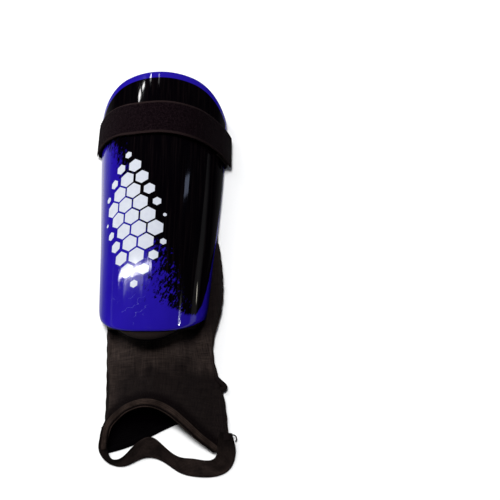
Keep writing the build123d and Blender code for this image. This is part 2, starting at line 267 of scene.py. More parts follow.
def strip(name, path, across, out, half_width, half_thick, profile=rounded(14), columns=17,
          closed=False, lift=None, round_ends=False):
    """A strip swept along a path. across and out are its width and face directions. lift(u, v)
    raises its outer face, u across and v along, in millimetres. The pattern's coordinates are
    u, v, and 1 on the outer face or -1 on the hidden one."""
    path, across, out = (np.asarray(a, float) for a in (path, across, out))
    across, out = np.broadcast_to(across, path.shape), np.broadcast_to(out, path.shape)
    count = len(path)
    a = np.sin(np.linspace(-1, 1, columns) * math.pi / 2)
    travelled = lengths(path)
    from_end = np.minimum(travelled, travelled[-1] - travelled)
    half_width = np.broadcast_to(half_width, (count,))
    if round_ends:
        near = np.clip(from_end / half_width, 0.03, 1)
        half_width = half_width * np.sqrt(1 - (1 - near) ** 2)
    width = half_width[:, None] * a[None, :]
    along = np.repeat(travelled[:, None], columns, axis=1)
    thick = np.broadcast_to(half_thick, (count,))[:, None] * profile(a)[None, :]
    if not closed:
        thick = thick * np.clip(0.45 + from_end / np.max(half_thick), 0, 1)[:, None] ** 0.5
    raised = thick if lift is None else thick + lift(width, along) * profile(a)[None, :]
    middle = path[:, None, :] + across[:, None, :] * width[..., None]
    over = middle + out[:, None, :] * raised[..., None]
    under = (middle - out[:, None, :] * thick[..., None])[:, 1:-1]
    index = np.arange(count * columns).reshape(count, columns)
    lower = index.copy()
    lower[:, 1:-1] = np.arange(count * (columns - 2)).reshape(count, -1) + count * columns
    if closed:
        index, lower = (np.concatenate([i, i[:1]]) for i in (index, lower))
    faces = grid_faces(index) + grid_faces(lower)
    if not closed:
        for row in (0, -1):
            for j in range(columns - 1):
                face = [index[row, j], index[row, j + 1], lower[row, j + 1], lower[row, j]]
                faces.append([int(n) for n in dict.fromkeys(face)])
    marks = triples(width, along, 1)
    return new_object(name, [over, under], faces, [marks, marks[:, 1:-1] * (1, 1, -1)])


def threads(name, places, alongs, outs, length=1.7, radius=0.24):
    """A row of stitches: each is a short thread that dives into the cloth at both ends."""
    points, faces, marks = [], [], []
    sides, steps = 6, 7
    proud, dive = 0.16, 0.42
    for place, along, out in zip(places, unit(np.asarray(alongs)), unit(np.asarray(outs))):
        side = np.cross(along, out)
        base = len(points)
        for k in range(steps):
            q = 2 * k / (steps - 1) - 1
            thin = radius * math.sqrt(max(1 - abs(q) ** 4, 0.04))
            centre = place + along * q * length / 2 + out * (proud - dive * q * q)
            for j in range(sides):
                turn = 2 * math.pi * j / sides
                points.append(centre + side * thin * math.cos(turn) + out * thin * math.sin(turn))
                marks.append((q * length / 2, len(points) % 977, 1))
        index = base + np.arange(steps * sides).reshape(steps, sides)
        faces += grid_faces(np.concatenate([index, index[:, :1]], axis=1))
        faces += [index[0].tolist(), index[-1].tolist()]
    return new_object(name, points, faces, marks)


# ---- Guard: hard front, foam and lining ----
width_fit = np.polyfit(GUARD_STATIONS[:, 0], GUARD_STATIONS[:, 1], 3)
rise_fit = np.polyfit(GUARD_STATIONS[:, 0], GUARD_STATIONS[:, 2], 3)


def guard_arc(y):
    """Radius of the hard front's outer face at y, and the height of its centre."""
    half, rise = np.polyval(width_fit, y), np.polyval(rise_fit, y)
    radius = (half**2 + rise**2) / (2 * rise)
    return radius, EDGE_Z + rise - radius


def guard_middle(y):
    """x of the guard's middle line, which leans a little to the left at both ends."""
    knee = 0.4 * smooth_step(y, 60, 110) + 1.3 * smooth_step(y, 115, 175)
    return AXIS_X - knee - 1.0 * smooth_step(y, 30, -50)


def top_edge(x, inset):
    """The outline's upper edge, as y at a distance x from the guard's middle."""
    head_radius = (HEAD_HALF**2 + HEAD_DROP**2) / (2 * HEAD_DROP)
    lean = HEAD_HALF / head_radius
    shoulder_x = HEAD_HALF - SHOULDER_RADIUS * lean
    shoulder_y = GUARD_TOP - HEAD_DROP - SHOULDER_RADIUS * math.sqrt(1 - lean**2)
    x = np.abs(x)
    radius = head_radius - inset
    middle = GUARD_TOP - head_radius + np.sqrt(np.maximum(radius**2 - x**2, 0))
    corner = SHOULDER_RADIUS - inset
    side = shoulder_y + np.sqrt(np.maximum(corner**2 - (x - shoulder_x) ** 2, 0))
    return np.where(x < radius * lean, middle, side)


def foot_edge(x, inset, lip):
    """The outline's lower edge, as y at a distance x from the guard's middle."""
    share = np.clip(np.abs(x) / (FOOT_HALF_WIDTH - inset), 0, 1)
    lip = lip * (1.25 * np.clip(1 - (x / LIP_HALF) ** 2, 0, 1) - 0.25)
    reach = (1 - share**FOOT_SQUARENESS) ** (1 / FOOT_SQUARENESS)
    return FOOT_CENTRE_Y - (FOOT_CENTRE_Y - GUARD_BOTTOM + lip - inset) * reach


def guard_place(top_depth, edge_inset, lip):
    """The place function of one layer of the guard, for closed_sheet. The pattern's coordinates
    are the way round the arc, y, and the distance from the rim."""

    def layer_arc(y, inset, depth):
        """Radius and centre height of the layer's arc, and the angle from its top to its edge."""
        radius, centre_z = guard_arc(y)
        radius = radius - depth
        reach = np.arccos(np.clip((EDGE_Z + inset - centre_z) / radius, -1, 1))
        return radius, centre_z, reach

    def place(s, t, inset, depth):
        inset, depth = edge_inset + inset, top_depth + depth
        ends = []
        for edge in (lambda x: foot_edge(x, inset, lip), lambda x: top_edge(x, inset)):
            y = edge(np.zeros_like(s))
            for _ in range(25):  # settles on the y at which this arc meets the outline
                radius, _, reach = layer_arc(y, inset, depth)
                y = (y + edge(radius * np.sin(s * reach))) / 2
            ends.append(y)
        y = ends[0] + (ends[1] - ends[0]) * t
        radius, centre_z, reach = layer_arc(y, inset, depth)
        turn = s * reach
        x = guard_middle(y) + radius * np.sin(turn)
        points = triples(x, y, centre_z + radius * np.cos(turn))
        corner = np.minimum(y - ends[0], ends[1] - y) * np.cos(turn * 0.55)
        rim = np.minimum((1 - np.abs(s)) * radius * reach, corner) + inset - edge_inset
        return points, triples(radius * turn, y, rim)

    return place


def make_guard():
    """Three layers, one under the other, with a hair's gap between."""
    foam_depth = SHELL_THICK + LAYER_GAP
    lining_depth = foam_depth + FOAM_THICK + LAYER_GAP
    shell = closed_sheet("front_shell_skin", guard_place(0, 0, 0), 161, 201, SHELL_THICK, 8)
    foam = closed_sheet("foam_pad", guard_place(foam_depth, 1.0, FOAM_LIP), 97, 121, FOAM_THICK, 8)
    place = guard_place(lining_depth, 0.6, FOAM_LIP)
    lining = closed_sheet("lining_cloth", place, 97, 121, LINING_THICK, 4)
    finish_piece(shell, "guard", "printed_shell", "front_shell")
    finish_piece(foam, "guard", "eva_foam", "foam_backing")
    finish_piece(lining, "guard", "lining_knit", "backing_lining")


# ---- Riding ----
def finish_piece(piece, body, slot, *nodes, bend=None):
    """Gives a piece its material and hides the CAD nodes it stands for. Without bend it follows its
    body; with bend its transform is baked into its mesh and it follows no body.
    bend is (other body, start, end), with the points in millimetres; only whether it is given is
    read, and its contents are not used."""
    piece.data.materials.append(materials[slot])
    if bend:
        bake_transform(piece)
    else:
        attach(piece, body)
    if nodes:
        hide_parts(*nodes)


# ---- Calf strap ----
# x, and how far the strap has slipped towards the knee there
SWAY = [(-64, 4.8), (-45, 3.3), (-35, 1.2), (-25, -1.0), (-5, -2.2), (8, -2.6), (20, -3.5),
        (36, -4.9), (48, -6.3), (60, -8.5)]
WIDENING = 0.9  # how much further each edge is stretched over the guard's middle
SEW_HINGE = (-62.0, 0, 1.6), (-62.6, 0, 6.5)  # where the band lifts from the rear run


def sway(x):
    """How far the strap has slipped towards the knee at each x."""
    return cubic(*np.array(SWAY).T, np.clip(x, SWAY[0][0], SWAY[-1][0]))


def snug(angle):
    """How much closer to the guard the strap lies on its flanks than over its middle."""
    return 1.9 * smooth_step(angle, 62, 36) - 0.4 * smooth_step(angle, 115, 150)


def strap_arc(radius, start, end, count):
    """Points and outward directions on an arc of the strap, from one angle to another."""
    angle = np.linspace(start, end, count)
    turn = np.radians(angle)
    out = triples(np.cos(turn), 0, np.sin(turn))
    points = np.array([STRAP_X, STRAP_MIDDLE_Y, STRAP_Z]) + out * (radius - snug(angle))[:, None]
    points[:, 1] += sway(points[:, 0])
    return points, out


def strap_half_width(points):
    """Half width of the strap, which is stretched a little wider over the guard's middle."""
    over_guard = points[:, 2] > 20
    return STRAP_HALF_WIDTH + WIDENING * smooth_step(np.abs(points[:, 0]), 46, 26) * over_guard


def strap_strip(name, radius, start, end, half_thick, margin=0.0, lift=None):
    """A strip along the strap's arc. margin is how much narrower it is at each edge."""
    row_length = 0.9
    count = max(8, int(abs(start - end) * radius * DEGREE_ARC / row_length))
    path, out = strap_arc(radius, start, end, count)
    return strip(name, path, (0, 1, 0), out, strap_half_width(path) - margin, half_thick,
                 columns=39, lift=lift)


def pile_lift(seed, height=0.32):
    """A lift function for strip: uneven tufts of brushed pile."""
    tuft = 3.1

    def lift(across, along):
        rng = np.random.default_rng(seed)
        coarse = cloth_noise(triples(across, along, 0), (tuft, tuft, 1), seed)
        return height * (0.55 * coarse + 0.6 * rng.random(across.shape))

    return lift


def elastic_path():
    """The strap's elastic: up the right flank, flat under the guard, and over the front."""
    bend, flat_z, flat_count = 3.0, 0.75, 60
    riser, _ = strap_arc(RISER_RADIUS, RISER_TOP_ANGLE, 14.8, 24)
    front, _ = strap_arc(ELASTIC_RADIUS, BAND_LEFT_ANGLE - 0.8, SPLICE_ANGLE, 100)
    right_x, left_x = riser[-1, 0] - bend, front[0, 0] + bend
    corner = np.radians(np.linspace(-8, -84, 8))

    def under_run(x, z):
        """Points under the guard, each slipped sideways as far as the strap beside it."""
        slip = np.interp(x, (left_x, right_x), (sway(left_x), sway(right_x)))
        return triples(x, STRAP_MIDDLE_Y + slip, z)

    right = under_run(right_x + bend * np.cos(corner), flat_z + bend + bend * np.sin(corner))
    flat = under_run(np.linspace(right_x, left_x, flat_count), flat_z)
    corner = corner[::-1]
    left = under_run(left_x - bend * np.cos(corner), flat_z + bend + bend * np.sin(corner))
    path = np.concatenate([riser, right, flat, left, front])
    return path, np.cross(tangents(path), (0, 1, 0))


def make_strap():
    """Elastic, pile and hook tape in layers, and the tab that anchors the strap."""
    path, out = elastic_path()
    elastic_margin, patch_margin = 0.3, 2.5
    elastic = strip("strap_elastic", path, (0, 1, 0), out, strap_half_width(path) - elastic_margin,
                    ELASTIC_HALF, columns=31)
    finish_piece(elastic, "guard", "ribbed_elastic", "calf_strap_rear", "band_elastic",
                 bend=("strap_front", *SEW_HINGE))

    peel = "strap_tab", *strap_arc(PILE_RADIUS, TAB_ANGLE + 4, TAB_ANGLE - 4, 2)[0]
    pile = strap_strip("band_pile", PILE_RADIUS, BAND_LEFT_ANGLE, TAB_END_ANGLE + 0.6, PILE_HALF,
                       lift=pile_lift(3))
    finish_piece(pile, "strap_front", "loop_pile", "band_loop_pile", "tab_pile", bend=peel)
    tab = strap_strip("tab_elastic_end", ELASTIC_RADIUS, SPLICE_ANGLE - 0.6, TAB_END_ANGLE,
                      ELASTIC_HALF, elastic_margin)
    finish_piece(tab, "strap_front", "ribbed_elastic", "tab_elastic", bend=peel)

    patch = strap_strip("riser_pile", RISER_RADIUS + 0.85, RISER_TOP_ANGLE - 1, 15.5, PATCH_HALF,
                        patch_margin, pile_lift(5, 0.12))
    finish_piece(patch, "guard", "loop_pile", "riser_loop_patch")
    hooks = strap_strip("hook_tape", HOOK_RADIUS, TAB_ANGLE - 4.5, TAB_END_ANGLE + 1.5, HOOK_HALF,
                        patch_margin)
    finish_piece(hooks, "strap_tab", "hook_tape", "hook_patch")

    low, high = node_box("strap_anchor_tab")
    middle, half = (low + high) / 2, (high - low) / 2
    path = np.linspace((middle[0], low[1], middle[2]), (middle[0], high[1], middle[2]), 12)
    anchor = strip("anchor_tab", path, (1, 0, 0), (0, 0, 1), half[0], half[2] - LAYER_GAP,
                   columns=13)
    finish_piece(anchor, "guard", "webbing", "strap_anchor_tab")


def stitch_line(radius, start, end, y_start, y_end, pitch=2.6):
    """Places, directions and outward directions of stitches on the strap's face."""
    arc = abs(start - end) * radius * DEGREE_ARC
    count = max(2, int(max(arc, abs(y_start - y_end)) / pitch))
    places, out = strap_arc(radius, start, end, count)
    places[:, 1] += np.linspace(y_start, y_end, count) - STRAP_MIDDLE_Y
    direction = (0, 1, 0) if arc < 1 else np.cross(out, (0, 1, 0))
    return places, np.broadcast_to(direction, places.shape), out


def make_strap_stitches():
    """Two rows across the band's sewn end, and a box of stitches that holds the hook tape."""
    face = PILE_RADIUS + 0.75

    def across(angles, margin):
        low, high = STRAP_MIDDLE_Y - STRAP_HALF_WIDTH, STRAP_MIDDLE_Y + STRAP_HALF_WIDTH
        ends = low + margin, high - margin
        return ends, [stitch_line(face, angle, angle, *ends) for angle in angles]

    def sew(name, rows, body, node):
        places, directions, outs = (np.concatenate(part) for part in zip(*rows))
        finish_piece(threads(name, places, directions, outs), body, "thread", node)

    sew("band_seam_threads", across((161.4, 158.4), 1.5)[1], "strap_front", "band_seam_stitching")
    first, last = TAB_END_ANGLE + 2.5, TAB_ANGLE - 5.5
    sides, rows = across((first, last), 3.5)
    rows += [stitch_line(face, first + 2, last - 2, y, y) for y in sides]
    sew("tab_threads", rows, "strap_tab", "tab_stitching")


# ---- Ankle sleeve ----
UPPER, FOLD, LOWER = 101, 9, 61  # points round one ring of the sleeve
# y, and the radius of the sleeve's fold at its left and right edge
FOLD_RADIUS = [(30, 1.5, 2.0), (0, 1.5, 3.6), (-30, 1.5, 3.8), (-58, 1.6, 3.6), (-76, 1.6, 2.0),
               (-120, 1.6, 1.7), (-157, 1.5, 1.6)]


def sleeve_section(y):
    """Left and right edge, feet and peak of the sleeve at each y, and its two fold radii."""
    tables = (np.asarray(table) for table in (SLEEVE_STATIONS, FOLD_RADIUS))
    columns = [cubic(table[:, 0], table[:, 1:], y) for table in tables]
    return np.moveaxis(np.concatenate(columns, axis=-1), -1, 0)


def sleeve_span(y):
    """Middles of the left and right fold at each y, and their radii."""
    left, right, *_, fold_left, fold_right = sleeve_section(y)
    return left + HALF_KNIT + fold_left, right - HALF_KNIT - fold_right, fold_left, fold_right


def front_height(x, y):
    """Middle of the sleeve's front cloth above the table."""
    left, right, foot_left, foot_right, peak, fold_left, fold_right = sleeve_section(y)
    middle, half = (foot_left + foot_right) / 2, (foot_right - foot_left) / 2 + 2.5
    bell = (1 - np.clip(np.abs(x - middle) / half, 0, 1) ** 2) ** 1.25
    flank = (2 * fold_left - FRONT_LOW) * smooth_step(left + 11 - x, 0, 9)
    flank += (2 * fold_right - FRONT_LOW) * smooth_step(x - right + 13, 0, 10)
    base = FRONT_LOW + HALF_KNIT
    crown = peak - HALF_KNIT - base
    cloth = triples(x, y, 0)
    waves = ((0.9, (17, 26, 9), 11), (0.55, (9, 30, 9), 12), (0.35, (11, 8, 9), 13))
    folds = sum(height * cloth_noise(cloth, size, seed) for height, size, seed in waves)
    past_guard = smooth_step(-y, 40, 84)
    raised = np.clip(bell * 3, 0, 1)
    pinch = 2.2 * hump((y + 96) / 9) * hump((x + 6) / 26)
    crease = 0.7 * hump((x - 2 - 0.06 * (y + 90)) / 1.8)
    crease = crease * smooth_step(-y, 84, 94) * smooth_step(y, -122, -100)
    return base + flank + crown * bell + raised * past_guard * (folds - pinch + crease)


def sleeve_ring(upper_y, lower_y):
    """Middle of the cloth, once round the sleeve: upper points left to right, the right fold,
    lower points right to left and the left fold. The two y values belong to the columns."""

    def flat_x(y, share):
        low, high, *_ = sleeve_span(y)
        return low + (high - low) * share

    def fold(y, side):
        y = np.full(FOLD, y)
        centre, radius = sleeve_span(y)[side > 0 :: 2]
        turn = side * math.pi / 2 - math.pi * (np.arange(FOLD) + 1) / (FOLD + 1)
        z = HALF_KNIT + radius + radius * np.sin(turn)
        return triples(centre + radius * np.cos(turn), y, z)

    share = np.linspace(0, 1, UPPER)
    x = flat_x(upper_y, share + 0.035 * np.sin(2 * math.pi * share))
    upper = triples(x, upper_y, front_height(x, upper_y))
    x = flat_x(lower_y, np.linspace(1, 0, LOWER))
    lower = triples(x, lower_y, HALF_KNIT)
    right_fold = fold((upper_y[-1] + lower_y[0]) / 2, 1)
    left_fold = fold((upper_y[0] + lower_y[-1]) / 2, -1)
    return np.concatenate([upper, right_fold, lower, left_fold])


CUT_INSET = 2.0


def bound_edge(line, inset, count=150):
    """The plan of a bound edge moved into the cloth, and the way in from it."""
    plan = smooth_path([(x, y, 0) for x, y in line], count)
    inward = np.cross((0, 0, 1), tangents(plan))
    return plan + inward * inset, inward


def edge_y(line, x):
    """y of the cloth's cut at each x: inside the tape that binds it."""
    plan = bound_edge(line, CUT_INSET)[0]
    plan = plan[np.argsort(plan[:, 0])]
    return np.interp(x, plan[:, 0], plan[:, 1])


def sleeve_rows():
    """Rings of the sleeve from its top to its cut foot end."""
    instep, heel = np.full(UPPER, -130.0), np.full(LOWER, -140.0)
    for _ in range(12):  # settles on the ring that follows both cut edges
        ring = sleeve_ring(instep, heel)
        instep = edge_y(INSTEP_LINE, ring[:UPPER, 0])
        heel = edge_y(HEEL_LINE, ring[UPPER + FOLD : UPPER + FOLD + LOWER, 0])
    top = SLEEVE_TOP - 1
    return np.array([sleeve_ring(top + (instep - top) * t, top + (heel - top) * t)
                     for t in np.linspace(0, 1, 130)])


def ring_normals(rows):
    """Outward directions at every point of rings, one a row."""
    down = np.gradient(rows, axis=0)
    sideways = (np.roll(rows, -1, axis=1) - np.roll(rows, 1, axis=1)) / 2
    return unit(np.cross(down, sideways))


def make_sleeve_cloth():
    """The knitted tube: an outer face that knows its distance from the cut, and an inner one."""
    rows = sleeve_rows()
    normals = ring_normals(rows)
    count, columns = rows.shape[:2]
    travelled = np.cumsum(np.linalg.norm(rows - np.roll(rows, 1, axis=1), axis=2), axis=1)
    cut = bound_edge(INSTEP_LINE, CUT_INSET, 90)[0][:, :2]
    furthest = 30.0
    from_cut = np.full(travelled.shape, furthest)
    upper = rows[:, :UPPER, None, :2] - cut
    from_cut[:, :UPPER] = np.minimum(np.linalg.norm(upper, axis=-1).min(axis=-1), furthest)
    # The distance from the cut feeds the painted shadow beside the instep tape.
    sides = 1 + from_cut, np.full(travelled.shape, -1.0)
    marks = [triples(travelled, rows[..., 1], side) for side in sides]
    index = np.arange(count * columns).reshape(count, columns)
    outer = np.concatenate([index, index[:, :1]], axis=1)
    inner = outer + count * columns
    faces = grid_faces(outer) + grid_faces(inner)
    for row in (0, -1):
        faces += grid_faces(np.stack([outer[row], inner[row]]))
    points = [rows + side * HALF_KNIT * normals for side in (1, -1)]
    cloth = new_object("sleeve_cloth", points, faces, marks)
    finish_piece(cloth, "guard", "sleeve_knit", "sleeve_cuff", "sleeve_front_panel",
                 "sleeve_heel_panel", bend=FLEX_BEND)


def make_hem_and_seams():
    """The band round the sleeve's top, and a raised seam down each of its folds."""
    hem_y, step = SLEEVE_TOP - 3.5, 2.0
    rings = [sleeve_ring(np.full(UPPER, y), np.full(LOWER, y))
             for y in (hem_y + step, hem_y, hem_y - step)]
    band = strip("sleeve_top_hem", rings[1], (0, 1, 0), ring_normals(np.array(rings))[1], 3.6, 1.2,
                 rounded(5), closed=True)
    finish_piece(band, "guard", "binding_tape", "cuff_hem")

    for name, side in (("left", -1), ("right", 1)):
        y = np.linspace(22, SLEEVE_FOOT + 3, 110)
        middle, radius = sleeve_span(y)[side > 0 :: 2]
        x = middle + side * (radius + HALF_KNIT + 0.2)
        path = triples(x, y, HALF_KNIT + radius)
        out = -side * np.cross(tangents(path), (0, 0, 1))
        seam = strip(f"seam_{name}", path, (0, 0, 1), out, 0.9, 0.65, rounded(3), 9,
                     lift=lambda across, along: 0.16 * np.sin(along * 2 * math.pi / 1.9 + across))
        finish_piece(seam, "guard", "binding_tape", f"side_seam_{name}", bend=FLEX_BEND)


def surface_normals(path, height):
    """Normals of the height field z = height(x, y) along a path on it."""
    x, y = path[:, 0], path[:, 1]
    d = 0.4
    slope_x = (height(x + d, y) - height(x - d, y)) / (2 * d)
    slope_y = (height(x, y + d) - height(x, y - d)) / (2 * d)
    return unit(triples(-slope_x, -slope_y, 1))


def roll_profile(a):
    """A folded tape: a full roll at its outer side and flatter towards its stitched side."""
    return (1 - np.abs(a) ** 3.2) ** 0.55 * (0.84 + 0.16 * np.cos((a - 0.15) * math.pi))


FOLD_GROOVE, STITCH_GROOVE = 2.9, -2.75  # places across the instep's tape, from its middle


def tape_grooves(u, v):
    """A lift function for strip: a pressed fold, and a sewn-down line that puckers."""
    sewn = u + 2.7
    pucker = 0.1 * np.sin(v * 2 * math.pi / 2.6) * hump(sewn / 0.7)
    return pucker - 0.5 * hump((u - FOLD_GROOVE) / 0.42) - 0.28 * hump(sewn / 0.4)


def make_bindings():
    """The tape over the instep, slimmer at its left end and tapered at its right one, with its
    row of stitches, and the tape under the heel."""
    path, inward = bound_edge(INSTEP_LINE, 3.1, 260)
    place = np.arange(len(path))
    slim, taper = smooth_step(place, 45, 0), smooth_step(place, 190, 255)
    path = path - inward * 0.9 * slim[:, None]
    path[:, 2] = front_height(path[:, 0], path[:, 1])
    out = surface_normals(path, front_height)
    forward = tangents(path)
    across = unit(np.cross(out, forward))
    tape = strip("instep_tape", path, across, out, 4.2 - 1.3 * slim - 0.7 * taper, 1.35,
                 roll_profile, 33, lift=tape_grooves, round_ends=True)
    finish_piece(tape, "sleeve", "binding_tape", "instep_binding")
    pick = np.linspace(3, len(path) - 4, 75).astype(int)
    places = path[pick] + across[pick] * STITCH_GROOVE + out[pick] * 1.02
    row = threads("instep_stitches", places, forward[pick], out[pick], 1.3, 0.22)
    finish_piece(row, "sleeve", "thread")

    path, inward = bound_edge(HEEL_LINE, CUT_INSET)
    path[:, 2] = HALF_KNIT + 0.02
    # The upper face seen inside the opening is the tape's hidden side, drawn nearly black as
    # painted shade.
    tape = strip("heel_tape", path, inward, (0, 0, -1), 2.7, 1.0, roll_profile, 21)
    finish_piece(tape, "sleeve", "binding_tape", "heel_binding")


PAD_SIDES, PAD_RINGS = 72, 15


def pad_mesh(name, middle, half, bottom, top, covers):
    """A low round cushion of rings round a middle. A cover is a thin cap whose rim turns down."""
    points, marks, faces = [], [], []
    turn = np.linspace(0, 2 * math.pi, PAD_SIDES, endpoint=False)
    for over in (1, 0):
        for k in range(PAD_RINGS):
            share = math.sin(math.pi / 2 * k / (PAD_RINGS - 1))
            dome = (1 - share**4) ** 0.5
            x = middle[0] + half[0] * share * np.cos(turn)
            y = middle[1] + half[1] * share * np.sin(turn)
            if covers:
                z = bottom - 2.3 * share**10 + (top - bottom) * dome * over
                z -= 0.25 * (1 - share**6) * (1 - over)
            else:
                z = (bottom + top) / 2 + (top - bottom) / 2 * dome * (1 if over else -1)
            z = z + 0.12 * math.sin(5 * share) * np.cos(3 * turn) * (over and share < 0.97)
            if over or 0 < k < PAD_RINGS - 1:
                points.append(triples(x, y, z))
                # Every point is marked as a hidden side, so a cloth cover takes its near-black
                # inner colour: painted shade inside the sleeve.
                marks.append(triples(x, y, -1))
    upper = np.arange(PAD_RINGS * PAD_SIDES).reshape(PAD_RINGS, PAD_SIDES)
    lower = np.arange(upper.size, upper.size + (PAD_RINGS - 2) * PAD_SIDES).reshape(-1, PAD_SIDES)
    for block in (upper, np.concatenate([lower, upper[-1:]])):
        faces += grid_faces(np.concatenate([block, block[:, :1]], axis=1))
    faces += [upper[0].tolist(), lower[0].tolist()]
    return new_object(name, points, faces, marks)


def make_pads():
    cover_overlap, cover_thick = 1.1, 0.35
    for side in ("left", "right"):
        low, high = node_box(f"ankle_pad_{side}")
        cover_top = node_box(f"ankle_pad_cover_{side}")[1][2]
        middle, half = (low + high) / 2, (high - low) / 2
        pad = pad_mesh(f"pad_{side}", middle, half, low[2], high[2], False)
        finish_piece(pad, "sleeve", "eva_foam", f"ankle_pad_{side}")
        cover = pad_mesh(f"pad_cover_{side}", middle, half + cover_overlap,
                         high[2] - cover_thick, cover_top, True)
        finish_piece(cover, "sleeve", "lining_knit", f"ankle_pad_cover_{side}")


def sewing_tail(name, points, radius, *nodes):
    """A short round tail of thread or seam through the given points."""
    path = smooth_path(points, 40)
    forward = tangents(path)
    across = unit(np.cross(forward, (0.13, 0.21, 1.0)))  # never in line with a tail
    piece = strip(name, path, across, np.cross(across, forward), radius, radius, rounded(2), 13)
    finish_piece(piece, "sleeve", "thread", *nodes)


def make_sleeve_details():
    """The knot and the loose thread at the right seam, and the tacks that hold the stirrup."""
    sewing_tail("seam_tail", [(47.6, -97.2, 2.6), (50.6, -100.4, 2.9), (53.8, -103.4, 3.1),
                              (55.2, -105.4, 3.0), (54.0, -107.0, 2.8), (51.6, -107.0, 2.7)],
                2.3, "seam_end_knot")
    sewing_tail("loose_thread", [(60.6, -143.8, 4.9), (62.8, -143.6, 4.7), (64.4, -144.6, 3.7),
                                 (64.7, -146.4, 2.6), (63.9, -147.7, 1.8)], 0.5)
    offsets = np.outer(np.linspace(-2.3, 2.3, 11), (0, 1, 0))
    for side, centre, along, out, length in (
        ("left", (-38.15, -139.6, 2.9), (0, 0, 1), (-1, 0, 0), 3.4),
        ("right", (57.2, -145.2, 6.05), (1, 0.1, 0), (0.12, 0, 1), 6.5),
    ):
        tack = threads(f"tack_{side}", centre + offsets, [along] * 11, [out] * 11, length, 0.32)
        finish_piece(tack, "sleeve", "thread", f"stirrup_tack_{side}")


# ---- Stirrup ----
# the two edges of the strap that goes under the foot, heel side and toe side, in step
STIRRUP_HEEL_SIDE = [(-35.2, -138.0, 0.9), (-35.2, -145.0, 1.0), (-32.8, -154.0, 1.6),
                     (-29.0, -161.0, 3.2), (-21.4, -161.0, 5.0), (-12.4, -152.4, 7.6),
                     (-1.2, -146.2, 9.4), (8.6, -151.0, 7.0), (20.0, -158.8, 2.6),
                     (31.5, -160.4, 0.85), (41.2, -161.8, 0.85), (48.6, -160.2, 2.8),
                     (50.4, -153.2, 5.4), (51.2, -147.0, 5.9), (52.0, -141.4, 5.6)]
STIRRUP_TOE_SIDE = [(-37.6, -138.0, 4.9), (-38.4, -144.0, 5.0), (-39.4, -151.0, 5.0),
                    (-37.2, -158.8, 3.4), (-28.8, -165.0, 1.0), (-17.6, -165.8, 0.85),
                    (-5.0, -160.4, 1.2), (8.4, -162.2, 1.0), (21.2, -170.4, 0.85),
                    (34.6, -174.0, 0.85), (49.5, -173.8, 0.85), (60.8, -167.4, 0.9),
                    (64.2, -155.6, 2.6), (63.0, -148.2, 4.4), (61.6, -142.4, 4.9)]


def make_stirrup():
    """One strap under the foot, between its two edges."""
    knots = np.arange(len(STIRRUP_HEEL_SIDE))
    at = np.linspace(0, knots[-1], 170)
    heel, toe = (cubic(knots, edge, at) for edge in (STIRRUP_HEEL_SIDE, STIRRUP_TOE_SIDE))
    path = (heel + toe) / 2
    half_width = np.linalg.norm(heel - toe, axis=1) / 2
    across = unit(heel - toe)
    out = unit(np.cross(across, -tangents(path)))
    out = out * np.sign(out[:, 2:3] + 1e-6 * (out[:, :1] < 0))  # its face is always the upper one
    strap = strip("stirrup_band", path, across, out, half_width, 0.78, columns=31)
    finish_piece(strap, "sleeve", "stirrup_elastic", "stirrup_strap",
                 bend=("stirrup", (0, -143, 0), (0, -154, 0)))


# ---- Materials ----
def rgb(red, green, blue):
    """An sRGB colour, 0 to 255, as the linear one that a shader takes."""
    shares = [c / 255 for c in (red, green, blue)]
    linear = [c / 12.92 if c <= 0.04045 else ((c + 0.055) / 1.055) ** 2.4 for c in shares]
    return *linear, 1.0


class Wire:
    """A value in a material's node graph. Arithmetic on it adds math nodes."""

    def __init__(self, graph, socket):
        self.graph, self.socket = graph, socket

    def math(self, operation, *others, clamp=False):
        settings = {"operation": operation, "use_clamp": clamp}
        return self.graph.feed("ShaderNodeMath", self, *others, **settings)

    def __add__(self, other):
        return self.math("ADD", other)

    def __sub__(self, other):
        return self.math("SUBTRACT", other)

    def __mul__(self, other):
        return self.math("MULTIPLY", other)

    def __truediv__(self, other):
        return self.math("DIVIDE", other)

    def sine(self, period):
        return (self * (2 * math.pi / period)).math("SINE")

    def size(self):
        return self.math("ABSOLUTE")

    def clamped(self):
        return self.math("ADD", 0.0, clamp=True)

    def ramp(self, low, high):
        """0 below low and 1 above high, smooth between; the other way if high is lower."""
        span = (high, low, 1.0, 0.0) if low > high else (low, high, 0.0, 1.0)
        return self.graph.feed("ShaderNodeMapRange", self, *span, interpolation_type="SMOOTHSTEP")

    def curve(self, points):
        """The value looked up on a line through points, each (value, result)."""
        low, high = points[0][0], points[-1][0]
        results = [p[1] for p in points]
        base, span = min(results), max(results) - min(results)
        node = self.graph.node("ShaderNodeFloatCurve")
        line = node.mapping.curves[0]
        while len(line.points) < len(points):
            line.points.new(0.5, 0.5)
        for point, (value, result) in zip(line.points, points):
            point.location = (value - low) / (high - low), (result - base) / span
        node.mapping.update()
        self.graph.put(node.inputs["Value"], ((self - low) / (high - low)).clamped())
        return Wire(self.graph, node.outputs[0]) * span + base


